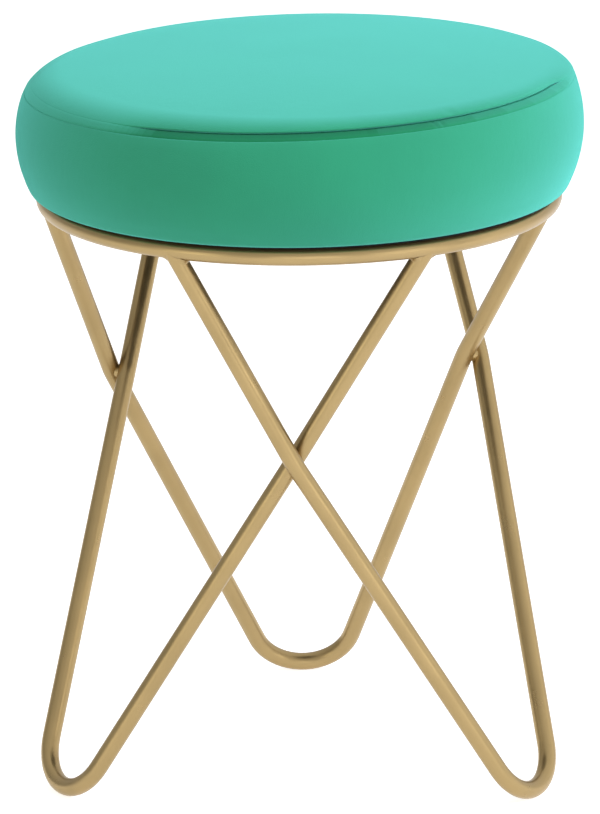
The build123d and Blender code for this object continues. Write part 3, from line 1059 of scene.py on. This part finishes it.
class OTTOMAN_OT_dust_cloth(bpy.types.Operator):
    """Model the black cloth stretched under the seat, with its screw holes"""

    bl_idname = "ottoman.dust_cloth"
    bl_label = "Dust cloth"

    def execute(self, context):
        finish = context.scene.ottoman_finish
        radius = cloth_high.x
        thickness = cloth_high.z - cloth_low.z
        ring_count, segments = 14, 144
        rings = [(radius * (1 - i / ring_count), cloth_high.z) for i in range(ring_count)]
        piece = start_piece("dust_cloth", rings[0], segments)
        draw_out(rings[0], rings[1:])
        bpy.ops.mesh.merge(type="CENTER")
        close_piece()
        wall = piece.modifiers.new("wall", "SOLIDIFY")
        wall.thickness = thickness
        wall.offset = -1.0
        apply_all(piece)
        for direction in SCREW_DIRECTIONS:
            self.cut_hole(piece, direction)
        finish_piece(piece, dust_cloth_material(finish))
        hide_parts("dust_cover")
        return {"FINISHED"}

    def cut_hole(self, piece, direction):
        """Punches the hole for one seat screw."""
        screw_circle, hole_diameter, punch_depth = 0.146, 0.010, 0.01
        place = Matrix.Rotation(radians(direction), 3, "Z") @ Vector((screw_circle, 0, cloth_low.z))
        bpy.ops.object.select_all(action="DESELECT")
        bpy.ops.mesh.primitive_cylinder_add(
            vertices=32, radius=hole_diameter / 2, depth=punch_depth, location=place
        )
        punch = bpy.context.object
        cut = piece.modifiers.new("hole", "BOOLEAN")
        cut.operation = "DIFFERENCE"
        cut.object = punch
        apply_all(piece)
        bpy.data.objects.remove(punch)


class OTTOMAN_OT_gold_frame(bpy.types.Operator):
    """Finish the ring, the legs, the tabs and their welds in satin gold"""

    bl_idname = "ottoman.gold_frame"
    bl_label = "Gold frame"

    def execute(self, context):
        dress_nodes(GOLD_NODES, gold_material(context.scene.ottoman_finish))
        return {"FINISHED"}


class OTTOMAN_OT_seat_fixings(bpy.types.Operator):
    """Finish the seat board, the screws, the washers, the tee nuts and the staples"""

    bl_idname = "ottoman.seat_fixings"
    bl_label = "Seat board and fixings"

    def execute(self, context):
        finish = context.scene.ottoman_finish
        dress_nodes(("seat_board",), plywood_material(finish))
        dress_nodes(ZINC_NODES, zinc_material(finish))
        return {"FINISHED"}


class OTTOMAN_OT_stage(bpy.types.Operator):
    """Set up the pale floor, the soft studio light and the camera"""

    bl_idname = "ottoman.stage"
    bl_label = "Stage"

    def execute(self, context):
        self.add_floor(context)
        self.add_surroundings(context)
        for name, values in SOFTBOXES.items():
            self.add_softbox(context, name, *values)
        self.add_camera(context)
        context.scene.view_settings.view_transform = "Standard"
        return {"FINISHED"}

    def add_floor(self, context):
        bpy.ops.object.select_all(action="DESELECT")
        bpy.ops.mesh.primitive_plane_add(size=24.0, location=(0, 0, 0))
        floor = context.object
        floor.name = "floor"
        floor.data.materials.append(floor_material(context.scene.ottoman_finish))

    def add_surroundings(self, context):
        """Pale room, brighter above and to the right, that metal sees as a white studio."""
        brighter_towards = Vector((0.75, 0.0, 0.65))
        lighting_levels, seen_levels, reach = (0.16, 0.49), (0.35, 1.0), 0.9
        world = bpy.data.worlds.new("studio")
        world.use_nodes = True
        nodes, links = world.node_tree.nodes, world.node_tree.links
        background = nodes["Background"]
        direction = nodes.new("ShaderNodeTexCoord")
        facing = nodes.new("ShaderNodeVectorMath")
        facing.operation = "DOT_PRODUCT"
        facing.inputs[1].default_value = brighter_towards.normalized()
        links.new(direction.outputs["Generated"], facing.inputs[0])
        strength = nodes.new("ShaderNodeMix")
        for side, (low, high) in (("A", lighting_levels), ("B", seen_levels)):
            level = nodes.new("ShaderNodeMapRange")
            level.inputs["From Min"].default_value = -reach
            level.inputs["From Max"].default_value = reach
            level.inputs["To Min"].default_value = low
            level.inputs["To Max"].default_value = high
            links.new(facing.outputs["Value"], level.inputs["Value"])
            links.new(level.outputs["Result"], strength.inputs[side])
        links.new(seen_rays(world), strength.inputs["Factor"])
        links.new(strength.outputs["Result"], background.inputs["Strength"])
        background.inputs["Color"].default_value = (1.0, 1.0, 1.0, 1.0)
        context.scene.world = world

    def add_softbox(self, context, name, place, size, power, tint, in_metal):
        """Soft square lamp that faces the middle of the stool."""
        place = Vector(place)
        lamp = bpy.data.lights.new(name, "AREA")
        lamp.shape = "SQUARE"
        lamp.size = size
        lamp.energy = power
        lamp.color = tint
        softbox = bpy.data.objects.new(name, lamp)
        context.scene.collection.objects.link(softbox)
        softbox.location = place
        softbox.rotation_euler = (LIT_MIDDLE - place).to_track_quat("-Z", "Y").to_euler()
        softbox.visible_camera = False
        softbox.visible_glossy = in_metal

    def add_camera(self, context):
        """Long lens from in front and above, at the photograph's angle."""
        place = (0, -3.9154, 1.3378)
        pan, pitch, roll = radians(-0.01), radians(15.63), radians(-0.50)
        lens = bpy.data.cameras.new("camera")
        lens.sensor_fit = "HORIZONTAL"
        lens.sensor_width = 36.0
        lens.lens = 366.1
        camera = bpy.data.objects.new("camera", lens)
        context.scene.collection.objects.link(camera)
        turn = Matrix.Rotation(-pan, 4, "Z")
        tilt = Matrix.Rotation(pi / 2 - pitch, 4, "X")
        level = Matrix.Rotation(roll, 4, "Z")
        camera.matrix_world = Matrix.Translation(place) @ turn @ tilt @ level
        context.scene.camera = camera


class OTTOMAN_PT_panel(bpy.types.Panel):
    """Sizes, finishes and pieces of the ottoman"""

    bl_label = "Round velvet ottoman"
    bl_idname = "OTTOMAN_PT_panel"
    bl_space_type = "VIEW_3D"
    bl_region_type = "UI"
    bl_category = "Ottoman"

    def draw(self, context):
        layout = self.layout
        for settings in (context.scene.ottoman_cushion, context.scene.ottoman_finish):
            box = layout.box()
            for name in settings.bl_rna.properties.keys():
                if name not in ("rna_type", "name"):
                    box.prop(settings, name)
        for operator in OPERATORS:
            layout.operator(operator.bl_idname)


OPERATORS = (
    OTTOMAN_OT_velvet_top,
    OTTOMAN_OT_velvet_strip,
    OTTOMAN_OT_velvet_side,
    OTTOMAN_OT_dust_cloth,
    OTTOMAN_OT_gold_frame,
    OTTOMAN_OT_seat_fixings,
    OTTOMAN_OT_stage,
)
CLASSES = (CushionSettings, FinishSettings) + OPERATORS + (OTTOMAN_PT_panel,)


def register():
    for each in CLASSES:
        bpy.utils.register_class(each)
    bpy.types.Scene.ottoman_cushion = bpy.props.PointerProperty(type=CushionSettings)
    bpy.types.Scene.ottoman_finish = bpy.props.PointerProperty(type=FinishSettings)


def unregister():
    del bpy.types.Scene.ottoman_finish
    del bpy.types.Scene.ottoman_cushion
    for each in reversed(CLASSES):
        bpy.utils.unregister_class(each)


def main():
    register()
    bpy.ops.ottoman.velvet_top()
    bpy.ops.ottoman.velvet_strip()
    bpy.ops.ottoman.velvet_side()
    bpy.ops.ottoman.dust_cloth()
    bpy.ops.ottoman.gold_frame()
    bpy.ops.ottoman.seat_fixings()
    bpy.ops.ottoman.stage()


if __name__ == "__main__":
    main()
